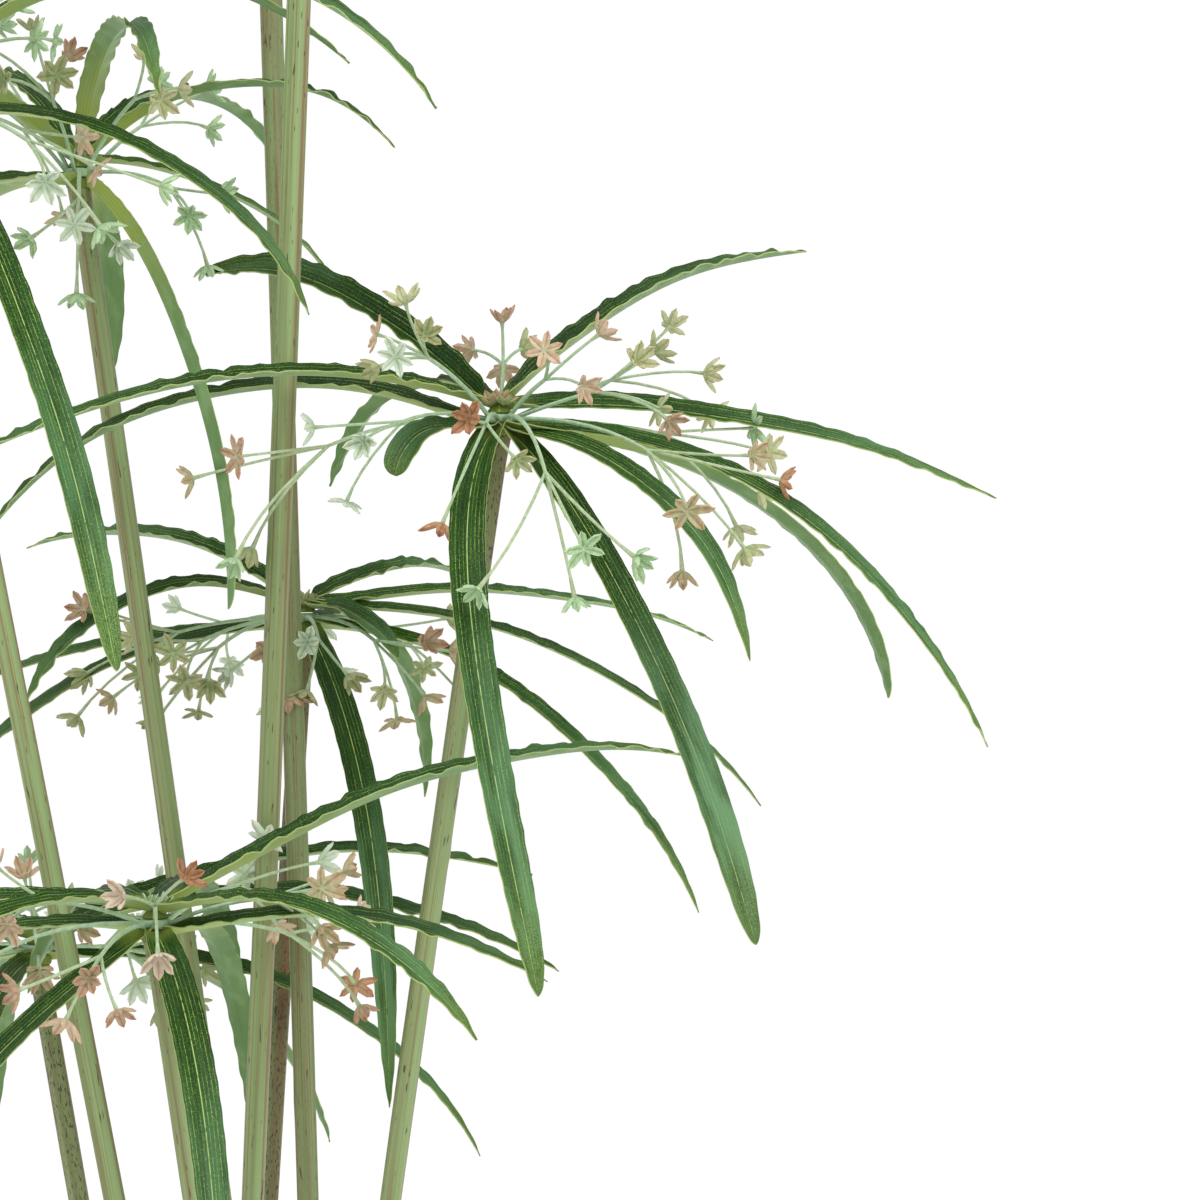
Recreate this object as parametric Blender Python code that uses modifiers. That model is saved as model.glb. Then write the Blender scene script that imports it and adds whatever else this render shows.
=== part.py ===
"""Potted umbrella papyrus, an artificial plant in a plain pot, in metres with +Z up.

Eight stems stand in sockets of a weighted soil plug that fills a tapered pot. Each stem ends in a peg that
carries a lower leaf whorl, a spray of flower rays and an upper leaf whorl, stacked with thin gaps between.
Azimuths are in degrees: 0 points along +X, 90 along +Y. The pot's underside is at z = 0.
"""

from dataclasses import dataclass
from math import cos, pi, radians, sin
from random import Random

import bmesh
import bpy
from mathutils import Vector

GAP = 0.0003  # clearance between pieces that meet

POT_HEIGHT = 0.165
POT_TOP_RADIUS = 0.092
POT_BASE_RADIUS = 0.070
POT_WALL = 0.004
POT_FLOOR = 0.006
RIM_HEIGHT = 0.018
RIM_OVERHANG = 0.004
ROUND_STEPS = 24

SOIL_TOP = 0.148
SOIL_CROWN = 0.004  # how far the soil's middle stands above its edge

STEM_RADIUS = 0.0048
STEM_FOOT = 0.060  # height where a stem's buried end stands
STEM_STATIONS = 3
PEG_RADIUS = 0.0026

HUB_RADIUS = 0.0075
WHORL_DISC = 0.0050
SPRAY_DISC = 0.0040
CAP_RADIUS = 0.0054  # the upper whorl's disc is smaller, so that rays can rise past it
LEAF_ROOT = 0.0042  # distance from the axis where leaves begin
RAY_ROOT = 0.0056
HUB_SIDES = 8
PEG_HOLE = 0.0032

LEAF_WIDTH = 0.0145
LEAF_THICKNESS = 0.0012
LEAF_SEGMENTS = 5
TIP_SHARE = 0.10  # the tip's width as a share of the leaf's width
RAY_RADIUS = 0.0012
RAY_STAGGER = 0.0004  # rising rays leave the ring this much above its middle, hanging ones below
RAY_FLARE = 2.6  # how much thicker a ray is at its flower end


@dataclass(frozen=True)
class Blade:
    """One leaf or ray: where it heads, how it rises and falls, and its length."""

    azimuth: float
    rise: float
    droop: float
    length: float
    hang: float = 1.2
    swirl: float = 0.0
    width: float = LEAF_WIDTH


@dataclass(frozen=True)
class Umbel:
    """One stem with its foot on the soil, its hub, and the blades of its two whorls and its spray."""

    letter: str
    foot: tuple
    hub: tuple
    lower: tuple
    upper: tuple
    rays: tuple


def even_whorl(seed, first, rise, droop):
    """Six leaves set evenly round a hub from one azimuth, each a little different."""
    rng = Random(seed)
    leaves = []
    for i in range(6):
        azimuth = first + 60 * i + rng.uniform(-4, 4)
        length = rng.uniform(0.21, 0.27)
        turn = rng.uniform(-8, 8)
        leaves.append(
            Blade(azimuth, rise + rng.uniform(-5, 5), droop + rng.uniform(-12, 12), length, swirl=turn)
        )
    return tuple(leaves)


def even_rays(seed, first):
    """Nine rays: six rise between the upper leaves and three hang between the lower ones."""
    rng = Random(seed)
    rising = [
        Blade(first + 30 + 60 * i, rng.uniform(48, 66), rng.uniform(30, 50), rng.uniform(0.06, 0.085))
        for i in range(6)
    ]
    hanging = [
        Blade(first + 120 * i, rng.uniform(4, 10), rng.uniform(50, 70), rng.uniform(0.08, 0.11))
        for i in range(3)
    ]
    return tuple(rising + hanging)


def even_umbel(letter, foot, hub, seed, first, rise=26, droop=82):
    """An umbel whose leaves and rays follow the even pattern."""
    lower = even_whorl(seed, first + 30, rise - 20, droop - 12)
    upper = even_whorl(seed + 1, first, rise + 14, droop + 8)
    return Umbel(letter, foot, hub, lower, upper, even_rays(seed + 2, first))


UMBELS = (
    even_umbel("a", (-0.028, -0.016), (0.019, -0.075, 1.185), seed=11, first=20, rise=20),
    even_umbel("b", (0.018, 0.028), (-0.020, 0.074, 1.268), seed=21, first=30, rise=36),
    Umbel(
        "c",
        (0.004, -0.014),
        (0.0985, -0.060, 0.829),
        lower=(
            Blade(168, 22, 78, 0.270),
            Blade(225, 3, 85, 0.066, hang=2.5),
            Blade(252, -6, 70, 0.285, hang=0.4, swirl=66),
            Blade(308, -25, 41, 0.272, hang=0.55),
            Blade(325, -8, 70, 0.170, hang=1.3),
            Blade(344, 4, 70, 0.264, hang=0.9),
            Blade(22, -6, 76, 0.236, hang=1.8),
        ),
        upper=(
            Blade(155, 39, 50, 0.165, hang=2.2),
            Blade(30, 47, 40, 0.177, hang=0.9),
            Blade(193, 23, 54, 0.265, hang=0.7),
            Blade(122, 22, 72, 0.170),
            Blade(6, 4, 28, 0.222, hang=1.0),
        ),
        rays=(
            Blade(207, 12, 78, 0.084),
            Blade(189, 2, 56, 0.132),
            Blade(264, 10, 90, 0.082),
            Blade(288, 12, 100, 0.128, hang=0.8),
            Blade(333, 1, 64, 0.128),
            Blade(3, 0, 25, 0.122),
            Blade(228, 42, 40, 0.078),
            Blade(88, 58, 30, 0.058),
            Blade(28, 24, 18, 0.110),
            Blade(347, 20, 14, 0.082),
            Blade(311, 40, 40, 0.060),
        ),
    ),
    Umbel(
        "d",
        (0.016, 0.008),
        (-0.095, 0.020, 0.945),
        lower=(
            Blade(310, -31, 56, 0.235, hang=1.0),
            Blade(88, 5, 105, 0.135),
            Blade(130, 8, 70, 0.230),
            Blade(185, 5, 60, 0.240),
            Blade(235, 0, 75, 0.220),
        ),
        upper=(
            Blade(10, 0, 55, 0.130),
            Blade(338, 38, 84, 0.172),
            Blade(66, 40, 85, 0.220),
            Blade(122, 42, 80, 0.240),
            Blade(172, 40, 70, 0.250),
            Blade(222, 38, 90, 0.230),
            Blade(288, 45, 95, 0.210),
        ),
        rays=(
            Blade(38, 50, 45, 0.080),
            Blade(147, 60, 50, 0.090),
            Blade(197, 52, 45, 0.090),
            Blade(256, 56, 40, 0.080),
            Blade(314, 50, 45, 0.080),
            Blade(332, 2, 60, 0.080),
            Blade(157, 6, 60, 0.100),
            Blade(278, -2, 75, 0.100),
        ),
    ),
    Umbel(
        "e",
        (-0.006, -0.044),
        (-0.152, -0.100, 0.960),
        lower=(
            Blade(309, -22, 48, 0.292, hang=0.5),
            Blade(0, 5, 70, 0.200),
            Blade(120, 8, 70, 0.240),
            Blade(180, 5, 75, 0.250),
            Blade(240, 0, 80, 0.250),
        ),
        upper=even_whorl(51, 40, 42, 88),
        rays=(*even_rays(53, 40), Blade(331, -6, 56, 0.120)),
    ),
    Umbel(
        "f",
        (-0.028, 0.030),
        (0.000, 0.110, 0.7425),
        lower=(
            Blade(170, -2, 24, 0.225),
            Blade(189, 0, 62, 0.235, hang=1.0),
            Blade(293, -30, 56, 0.270, hang=1.3, swirl=-12),
            Blade(344, 2, 66, 0.245, hang=0.8),
            Blade(24, 2, 52, 0.175, hang=0.9),
            Blade(66, 15, 112, 0.180),
        ),
        upper=(
            Blade(155, 34, 52, 0.165),
            Blade(214, 20, 82, 0.165),
            Blade(50, 26, 44, 0.125),
            Blade(14, 8, 32, 0.205, hang=1.5),
            Blade(354, 0, 52, 0.245),
            Blade(322, 4, 60, 0.065),
        ),
        rays=(
            Blade(45, 3, 50, 0.100),
            Blade(96, 4, 50, 0.100),
            Blade(132, 5, 45, 0.105),
            Blade(204, 0, 35, 0.115),
            Blade(222, -2, 44, 0.105),
            Blade(240, 0, 50, 0.112),
            Blade(258, 4, 75, 0.085),
            Blade(282, 2, 66, 0.085),
            Blade(318, 0, 75, 0.090),
        ),
    ),
    Umbel(
        "g",
        (0.012, -0.048),
        (-0.043, -0.120, 0.616),
        lower=(
            Blade(225, -22, 60, 0.240),
            Blade(286, -10, 78, 0.240),
            Blade(345, 14, 42, 0.170),
            Blade(82, 8, 90, 0.220),
            Blade(160, 8, 80, 0.230),
        ),
        upper=(
            Blade(22, 29, 38, 0.250, hang=1.6),
            Blade(178, 10, 56, 0.230),
            Blade(85, 14, 80, 0.220),
            Blade(124, 14, 76, 0.140),
            Blade(235, 16, 84, 0.220),
            Blade(322, 14, 60, 0.185),
        ),
        rays=(
            Blade(53, 26, 45, 0.085),
            Blade(212, 24, 45, 0.085),
            Blade(277, 27, 50, 0.075),
            Blade(346, 24, 40, 0.080),
            Blade(15, 4, 50, 0.100),
            Blade(112, 6, 60, 0.090),
            Blade(188, 4, 60, 0.100),
            Blade(255, 6, 60, 0.090),
        ),
    ),
    Umbel(
        "h",
        (-0.032, 0.006),
        (-0.117, 0.040, 0.590),
        lower=(
            Blade(14, 4, 66, 0.240),
            Blade(50, 2, 70, 0.230),
            Blade(105, 6, 74, 0.240),
            Blade(160, 3, 64, 0.230),
            Blade(215, 5, 76, 0.220),
            Blade(265, 0, 72, 0.230),
        ),
        upper=(
            Blade(75, 12, 76, 0.230),
            Blade(130, 14, 74, 0.240),
            Blade(188, 16, 76, 0.230),
            Blade(240, 22, 84, 0.220),
            Blade(350, 20, 50, 0.250),
            Blade(16, 25, 42, 0.240),
        ),
        rays=(
            Blade(40, 32, 45, 0.070),
            Blade(102, 30, 40, 0.075),
            Blade(158, 32, 45, 0.070),
            Blade(214, 30, 45, 0.080),
            Blade(276, 32, 40, 0.080),
            Blade(353, 8, 45, 0.075),
            Blade(32, 4, 60, 0.080),
            Blade(132, 6, 60, 0.090),
            Blade(240, 5, 65, 0.090),
        ),
    ),
)


def clear_scene():
    """Removes every object of the scene."""
    for item in list(bpy.data.objects):
        bpy.data.objects.remove(item, do_unlink=True)


def new_collection(name):
    """A fresh collection linked under the scene."""
    collection = bpy.data.collections.new(name)
    bpy.context.scene.collection.children.link(collection)
    return collection


def new_material(name, colour, roughness):
    """A plain Principled material."""
    material = bpy.data.materials.new(name)
    material.use_nodes = True
    shader = material.node_tree.nodes["Principled BSDF"]
    shader.inputs["Base Color"].default_value = (*colour, 1.0)
    shader.inputs["Roughness"].default_value = roughness
    shader.inputs["Metallic"].default_value = 0.0
    return material


def add_object(name, data, collection, material=None):
    """An object for a mesh or curve, with its material."""
    item = bpy.data.objects.new(name, data)
    collection.objects.link(item)
    if material:
        data.materials.append(material)
    return item


def as_cutter(item):
    """Marks a helper that only joins to or cuts other pieces."""
    item.hide_render = True
    item.display_type = "WIRE"
    return item


def smooth(mesh, angle=35):
    """Shades a round piece smooth, with its corners kept sharp."""
    mesh.shade_smooth()
    mesh.set_sharp_from_angle(angle=radians(angle))


def turned(name, profile, collection, material):
    """A turned piece from a profile that runs down its outer side."""
    mesh = bpy.data.meshes.new(name)
    points = [(x, 0.0, z) for x, z in profile]
    edges = [(i, i + 1) for i in range(len(points) - 1)]
    mesh.from_pydata(points, edges, [])
    item = add_object(name, mesh, collection, material)
    screw = item.modifiers.new("turn", "SCREW")
    screw.axis = "Z"
    screw.angle = 2 * pi
    screw.steps = ROUND_STEPS
    screw.render_steps = ROUND_STEPS
    screw.use_merge_vertices = True
    screw.merge_threshold = 0.0001
    return item


def boolean(item, other, operation, own_parts=False):
    """Joins another piece to this one, or cuts it away."""
    modifier = item.modifiers.new(operation.lower(), "BOOLEAN")
    modifier.operation = operation
    modifier.object = other
    modifier.solver = "EXACT"
    modifier.use_self = own_parts
    return modifier


def weld_slivers(item):
    """Closes the needle faces that a union can leave where edges nearly meet."""
    weld = item.modifiers.new("slivers", "WELD")
    weld.merge_threshold = 0.00003


def cylinder(name, radius, low, high, sides, place, collection, material=None):
    """An upright cylinder between two heights over a place."""
    mesh = bpy.data.meshes.new(name)
    bm = bmesh.new()
    bmesh.ops.create_cone(
        bm, cap_ends=True, segments=sides, radius1=radius, radius2=radius, depth=high - low
    )
    bmesh.ops.translate(bm, verts=bm.verts, vec=(0, 0, (low + high) / 2))
    bm.to_mesh(mesh)
    bm.free()
    item = add_object(name, mesh, collection, material)
    item.location = place
    return item


def path(blade, stations, root_radius, root_height):
    """Points from root to tip of a blade, with the sideways direction at each."""
    parts = 8
    step = blade.length / (stations * parts)
    heading = radians(blade.azimuth)
    point = Vector((root_radius * cos(heading), root_radius * sin(heading), root_height))
    rows = [(point.copy(), Vector((-sin(heading), cos(heading), 0.0)))]
    for i in range(stations * parts):
        share = (i + 0.5) / (stations * parts)
        elevation = radians(blade.rise - blade.droop * share**blade.hang)
        heading = radians(blade.azimuth + blade.swirl * share)
        point += step * Vector(
            (cos(elevation) * cos(heading), cos(elevation) * sin(heading), sin(elevation))
        )
        if (i + 1) % parts == 0:
            rows.append((point.copy(), Vector((-sin(heading), cos(heading), 0.0))))
    return rows


def width_share(share):
    """A leaf's width along its length: narrow at the root, full, then drawn to a point."""
    return max(TIP_SHARE, min(1.0, 0.30 + 3.8 * share) * (1.0 - share**3))


def leaf_strip(bm, blade, root_height):
    """Adds one flat leaf to bm: a narrow grid laid along the leaf's path."""
    rows = path(blade, LEAF_SEGMENTS, LEAF_ROOT, root_height)
    grid = bmesh.ops.create_grid(bm, x_segments=1, y_segments=LEAF_SEGMENTS, size=0.5)
    for vert in grid["verts"]:
        share = vert.co.y + 0.5
        point, side = rows[round(share * LEAF_SEGMENTS)]
        vert.co = point + side * (-vert.co.x * blade.width * width_share(share))


def whorl(name, umbel, blades, radius, low, high, cutter, parts, helpers, material):
    """A hub disc with its leaves, bored for the stem's peg."""
    mesh = bpy.data.meshes.new(name + "_blades")
    bm = bmesh.new()
    for blade in blades:
        leaf_strip(bm, blade, (low + high) / 2)
    bm.to_mesh(mesh)
    bm.free()
    leaves = as_cutter(add_object(name + "_blades", mesh, helpers))
    leaves.location = umbel.hub
    solid = leaves.modifiers.new("thickness", "SOLIDIFY")
    solid.thickness = LEAF_THICKNESS
    solid.offset = 0.0
    hub = cylinder(name, radius, low, high, HUB_SIDES, umbel.hub, parts, material)
    boolean(hub, leaves, "UNION", own_parts=True)
    boolean(hub, cutter, "DIFFERENCE")
    weld_slivers(hub)
    return hub


def rod_curve(name, splines, radius):
    """A curve with round section: each spline is a list of points with a radius factor."""
    curve = bpy.data.curves.new(name, "CURVE")
    curve.dimensions = "3D"
    curve.bevel_depth = radius
    curve.use_fill_caps = True
    for points in splines:
        spline = curve.splines.new("POLY")
        spline.points.add(len(points) - 1)
        for knot, (point, factor) in zip(spline.points, points):
            knot.co = (*point, 1.0)
            knot.radius = factor
    return curve


def curve_mesh(name, curve, resolution):
    """A closed mesh from a round curve, with its end caps welded on."""
    curve.bevel_resolution = resolution
    item = bpy.data.objects.new(name, curve)
    bpy.context.scene.collection.objects.link(item)
    graph = bpy.context.evaluated_depsgraph_get()
    mesh = bpy.data.meshes.new_from_object(item.evaluated_get(graph))
    mesh.name = name
    bpy.data.objects.remove(item, do_unlink=True)
    bm = bmesh.new()
    bm.from_mesh(mesh)
    bmesh.ops.remove_doubles(bm, verts=bm.verts, dist=0.00001)
    bmesh.ops.recalc_face_normals(bm, faces=bm.faces)
    bm.to_mesh(mesh)
    bm.free()
    mesh.materials.clear()
    return mesh


def spray(name, umbel, low, high, cutter, parts, helpers, material):
    """A ring with flower rays that reach the flowers' tips, bored for the peg."""
    splines = []
    for ray in umbel.rays:
        tier = RAY_STAGGER if ray.rise > 20 else -RAY_STAGGER
        rows = path(ray, 2, RAY_ROOT, (low + high) / 2 + tier)
        factors = (1.0, 1.0, RAY_FLARE)
        splines.append([(point, factor) for (point, _), factor in zip(rows, factors)])
    mesh = curve_mesh(name + "_rays", rod_curve(name + "_rays", splines, RAY_RADIUS), 0)
    rays = as_cutter(add_object(name + "_rays", mesh, helpers))
    rays.location = umbel.hub
    ring = cylinder(name, HUB_RADIUS, low, high, HUB_SIDES, umbel.hub, parts, material)
    boolean(ring, rays, "UNION", own_parts=True)
    boolean(ring, cutter, "DIFFERENCE")
    weld_slivers(ring)
    return ring


def stem_points(umbel):
    """The stem's centre line from its buried end to the shoulder under the hub."""
    foot = Vector((*umbel.foot, SOIL_TOP))
    shoulder = Vector(umbel.hub) - Vector((0, 0, GAP))
    lean = (shoulder - foot) / (shoulder.z - foot.z)
    buried = foot + lean * (STEM_FOOT - foot.z)
    upright = Vector((0, 0, 0.012))
    straight = [buried.lerp(shoulder - upright, i / STEM_STATIONS) for i in range(STEM_STATIONS + 1)]
    return straight + [shoulder - Vector((0, 0, 0.0002))], shoulder


def stem(umbel, parts, material):
    """A leaning stem whose top narrows to the peg that carries the whorls."""
    centre, shoulder = stem_points(umbel)
    stack = 2 * WHORL_DISC + SPRAY_DISC + 2 * GAP
    peg_top = Vector(umbel.hub) + Vector((0, 0, stack - 0.0025))
    narrow = PEG_RADIUS / STEM_RADIUS
    points = [(point, 1.0) for point in centre] + [(shoulder, narrow), (peg_top, narrow)]
    name = "stem_" + umbel.letter
    mesh = curve_mesh(name, rod_curve(name, [points], STEM_RADIUS), 2)
    smooth(mesh)
    return add_object(name, mesh, parts, material)


def socket(umbel, helpers):
    """The hole in the soil that a stem's buried end fills."""
    centre, _ = stem_points(umbel)
    along = (centre[1] - centre[0]).normalized()
    above = centre[0] + along * (SOIL_TOP + 0.02 - centre[0].z) / along.z
    points = [(centre[0] - along * 2 * GAP, 1.0), (above, 1.0)]
    name = "socket_" + umbel.letter
    mesh = curve_mesh(name, rod_curve(name, [points], STEM_RADIUS + 2 * GAP), 2)
    return as_cutter(add_object(name, mesh, helpers))


def pot(parts, material):
    """The tapered pot with its rolled rim."""
    inner_top = POT_TOP_RADIUS - POT_WALL
    inner_base = POT_BASE_RADIUS - POT_WALL
    profile = (
        (0.0, POT_FLOOR),
        (inner_base, POT_FLOOR),
        (inner_top, POT_HEIGHT),
        (POT_TOP_RADIUS + RIM_OVERHANG, POT_HEIGHT),
        (POT_TOP_RADIUS + RIM_OVERHANG, POT_HEIGHT - RIM_HEIGHT),
        (POT_TOP_RADIUS - 0.002, POT_HEIGHT - RIM_HEIGHT - 0.001),
        (POT_BASE_RADIUS, 0.003),
        (POT_BASE_RADIUS - 0.003, 0.0),
        (0.0, 0.0),
    )
    return turned("pot", profile, parts, material)


def wall_radius(height):
    """The radius of the pot's inside at a height."""
    inner_top = POT_TOP_RADIUS - POT_WALL
    inner_base = POT_BASE_RADIUS - POT_WALL
    share = (height - POT_FLOOR) / (POT_HEIGHT - POT_FLOOR)
    return inner_base + (inner_top - inner_base) * share


def soil(parts, helpers, material):
    """The weighted plug that fills the pot, with a socket for each stem."""
    floor = POT_FLOOR + GAP
    profile = (
        (0.0, SOIL_TOP + SOIL_CROWN),
        (0.6 * wall_radius(SOIL_TOP), SOIL_TOP + 0.7 * SOIL_CROWN),
        (wall_radius(SOIL_TOP) - 2 * GAP, SOIL_TOP),
        (wall_radius(floor) - 2 * GAP, floor),
        (0.0, floor),
    )
    plug = turned("soil", profile, parts, material)
    for umbel in UMBELS:
        boolean(plug, socket(umbel, helpers), "DIFFERENCE")
    return plug


def build_umbel(umbel, parts, helpers, leaf_material, spray_material, stem_material):
    """A stem and the three pieces stacked on its peg."""
    spray_low = WHORL_DISC + GAP
    upper_low = spray_low + SPRAY_DISC + GAP
    top = upper_low + WHORL_DISC
    cutter = as_cutter(
        cylinder(
            "peg_hole_" + umbel.letter, PEG_HOLE, -0.001, top - 0.0016, HUB_SIDES, umbel.hub, helpers
        )
    )
    stem(umbel, parts, stem_material)
    tiers = (
        ("lower", umbel.lower, HUB_RADIUS, 0.0),
        ("upper", umbel.upper, CAP_RADIUS, upper_low),
    )
    for tier, blades, radius, low in tiers:
        name = "leaves_" + umbel.letter + "_" + tier
        high = low + WHORL_DISC
        whorl(name, umbel, blades, radius, low, high, cutter, parts, helpers, leaf_material)
    name = "spray_" + umbel.letter
    spray(name, umbel, spray_low, spray_low + SPRAY_DISC, cutter, parts, helpers, spray_material)


def main():
    """Builds the whole plant."""
    clear_scene()
    parts = new_collection("potted_papyrus")
    helpers = new_collection("cutters")
    pot_material = new_material("pot_plastic", (0.045, 0.047, 0.050), 0.55)
    soil_material = new_material("soil", (0.055, 0.038, 0.025), 0.95)
    stem_material = new_material("stem_plastic", (0.33, 0.40, 0.16), 0.5)
    leaf_material = new_material("leaf_plastic", (0.06, 0.14, 0.035), 0.42)
    spray_material = new_material("flower_plastic", (0.55, 0.70, 0.50), 0.5)
    pot(parts, pot_material)
    soil(parts, helpers, soil_material)
    for umbel in UMBELS:
        build_umbel(umbel, parts, helpers, leaf_material, spray_material, stem_material)


main()
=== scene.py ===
"""Looks of the potted artificial papyrus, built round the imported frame.

Everything is in metres with +Z up, in the frame's own coordinates. Each umbel of the frame is a lower
whorl, a flower spray and an upper whorl on one stem; each is replaced here by a detailed piece on the same
centre lines. Azimuths are in degrees: 0 points along +X and 90 along +Y.
"""

import logging
import math
from dataclasses import dataclass
from enum import Enum
from random import Random

import bpy
import numpy as np
from bpy.types import Material, Mesh, Node, NodeSocket, Object
from mathutils import Matrix, Vector


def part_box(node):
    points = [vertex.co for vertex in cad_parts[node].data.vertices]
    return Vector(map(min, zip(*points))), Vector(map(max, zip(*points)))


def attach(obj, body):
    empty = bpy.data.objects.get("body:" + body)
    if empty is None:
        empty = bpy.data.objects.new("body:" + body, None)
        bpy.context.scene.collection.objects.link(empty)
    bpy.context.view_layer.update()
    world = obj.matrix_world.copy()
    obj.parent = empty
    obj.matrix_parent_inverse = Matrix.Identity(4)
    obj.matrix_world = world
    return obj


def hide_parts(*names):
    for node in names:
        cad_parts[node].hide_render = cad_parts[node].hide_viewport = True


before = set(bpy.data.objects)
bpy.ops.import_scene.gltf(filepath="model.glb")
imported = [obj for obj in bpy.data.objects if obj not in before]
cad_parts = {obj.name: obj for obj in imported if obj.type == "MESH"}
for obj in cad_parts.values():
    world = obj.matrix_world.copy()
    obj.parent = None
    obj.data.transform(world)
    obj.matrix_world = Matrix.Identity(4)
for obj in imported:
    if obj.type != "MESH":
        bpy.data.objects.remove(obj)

LOG = logging.getLogger("papyrus")
ROOT_BODY = "root"
Colour = tuple[float, float, float]

WHORL_DISC = 0.0050
SPRAY_DISC = 0.0040
GAP = 0.0003
PEG_RISE = 2 * WHORL_DISC + SPRAY_DISC + 2 * GAP - 0.0025  # from the hub's foot to the peg's top
SPRAY_LOW = WHORL_DISC + GAP
UPPER_LOW = SPRAY_LOW + SPRAY_DISC + GAP
SOIL_TOP = 0.148


class Tier(Enum):
    """The two leaf whorls of an umbel."""

    LOWER = "lower"
    UPPER = "upper"


class Petals(Enum):
    """How far a flower's petals have opened, in degrees from its stalk's line."""

    CUP = 44
    BELL = 58
    STAR = 76


# Where leaves and rays run


def unit(rows: np.ndarray) -> np.ndarray:
    """Rows scaled to a length of one."""
    return rows / np.linalg.norm(rows, axis=1, keepdims=True)


@dataclass(frozen=True)
class Blade:
    """One leaf or ray: where it heads, how it rises and falls, and its length.

    The elevation starts at ``rise`` and has fallen by ``droop`` at the tip; ``hang`` says how late it falls.
    ``lean`` tips a leaf's face towards the plant's front, ``blunt`` is how long it keeps its full width,
    ``wide`` scales it and ``crease`` folds it further along its middle. ``pale`` is how strongly painted
    sheen lightens its outer half.
    """

    azimuth: float
    rise: float
    droop: float
    length: float
    hang: float = 1.2
    swirl: float = 0.0
    lean: float = 18.0
    blunt: float = 5.0
    wide: float = 1.0
    crease: float = 0.0
    pale: float = 0.36

    def path(self, root_radius: float, root_height: float) -> "Path":
        """The centre line from a hub.

        Args:
            root_radius: distance from the hub's axis where the blade starts.
            root_height: height above the hub's foot where it starts.

        Returns:
            The path, relative to the hub's foot.
        """
        steps = 120
        share = (np.arange(steps) + 0.5) / steps
        elevation = np.radians(self.rise - self.droop * share**self.hang)
        heading = np.radians(self.azimuth + self.swirl * share)
        level = np.cos(elevation)
        move = np.stack([level * np.cos(heading), level * np.sin(heading), np.sin(elevation)], axis=1)
        start = math.radians(self.azimuth)
        root = np.array([root_radius * math.cos(start), root_radius * math.sin(start), root_height])
        return Path(np.vstack([root, root + np.cumsum(move * self.length / steps, axis=0)]))


@dataclass(frozen=True)
class Path:
    """A centre line as evenly spaced points."""

    points: np.ndarray

    def at(self, share: np.ndarray) -> tuple[np.ndarray, ...]:
        """Reads the line at shares of its length.

        Args:
            share: values from 0 at the root to 1 at the tip.

        Returns:
            Points, directions along the line, sideways directions and upward normals.
        """
        knots = np.linspace(0, 1, len(self.points))

        def read(rows: np.ndarray) -> np.ndarray:
            """The rows, one for each point of the line, eased to the shares."""
            return np.stack([np.interp(share, knots, column) for column in rows.T], axis=1)

        slope = np.gradient(self.points, axis=0)
        level = slope[:, :2].copy()
        heading = level[1] / np.linalg.norm(level[1])
        for k in range(len(level)):
            size = np.linalg.norm(level[k])
            turned = level[k] / size if size > 1e-9 else heading
            heading = turned if turned @ heading > 0 else -turned
            level[k] = heading
        flat = read(level)
        along = unit(read(slope))
        side = unit(np.stack([-flat[:, 1], flat[:, 0], np.zeros(len(share))], axis=1))
        return read(self.points), along, side, np.cross(along, side)


@dataclass(frozen=True)
class Umbel:
    """The blades of one umbel, by whorl, and its rays."""

    letter: str
    lower: tuple[Blade, ...]
    upper: tuple[Blade, ...]
    rays: tuple[Blade, ...]


def blades(*rows: tuple[float, ...] | Blade) -> tuple[Blade, ...]:
    """Blades from rows of azimuth, rise, droop, length and, if it differs, hang."""
    return tuple(row if isinstance(row, Blade) else Blade(*row) for row in rows)


def even_whorl(seed: int, first: float, rise: float, droop: float) -> tuple[Blade, ...]:
    """Six leaves set evenly round a hub, each a little different, as the frame's own.

    Args:
        seed: picks the differences.
        first: azimuth of the first leaf.
        rise: mean starting elevation.
        droop: mean fall by the tip.

    Returns:
        The leaves.
    """
    rng = Random(seed)
    leaves = []
    for i in range(6):
        azimuth = first + 60 * i + rng.uniform(-4, 4)
        length, swirl = rng.uniform(0.21, 0.27), rng.uniform(-8, 8)
        up, fall = rise + rng.uniform(-5, 5), droop + rng.uniform(-12, 12)
        leaves.append(Blade(azimuth, up, fall, length, swirl=swirl))
    return tuple(leaves)


def even_rays(seed: int, first: float) -> tuple[Blade, ...]:
    """Nine rays: six rise between the upper leaves and three hang between the lower ones.

    Args:
        seed: picks the differences.
        first: azimuth of the first upper leaf.

    Returns:
        The rays.
    """
    rng = Random(seed)
    rays = []
    for i in range(9):
        rising = i < 6
        azimuth = first + 30 + 60 * i if rising else first + 120 * (i - 6)
        ranges = ((48, 66), (30, 50), (0.06, 0.085)) if rising else ((4, 10), (50, 70), (0.08, 0.11))
        rays.append(Blade(azimuth, *(rng.uniform(low, high) for low, high in ranges)))
    return tuple(rays)


def even_umbel(letter: str, seed: int, first: float, rise: float) -> Umbel:
    """An umbel whose leaves and rays follow the even pattern.

    Args:
        letter: the umbel's letter in the frame's node names.
        seed: picks the differences.
        first: azimuth of the first upper leaf.
        rise: mean starting elevation of the two whorls.

    Returns:
        The umbel.
    """
    lower = even_whorl(seed, first + 30, rise - 20, 70)
    upper = even_whorl(seed + 1, first, rise + 14, 90)
    return Umbel(letter, lower, upper, even_rays(seed + 2, first))


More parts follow.
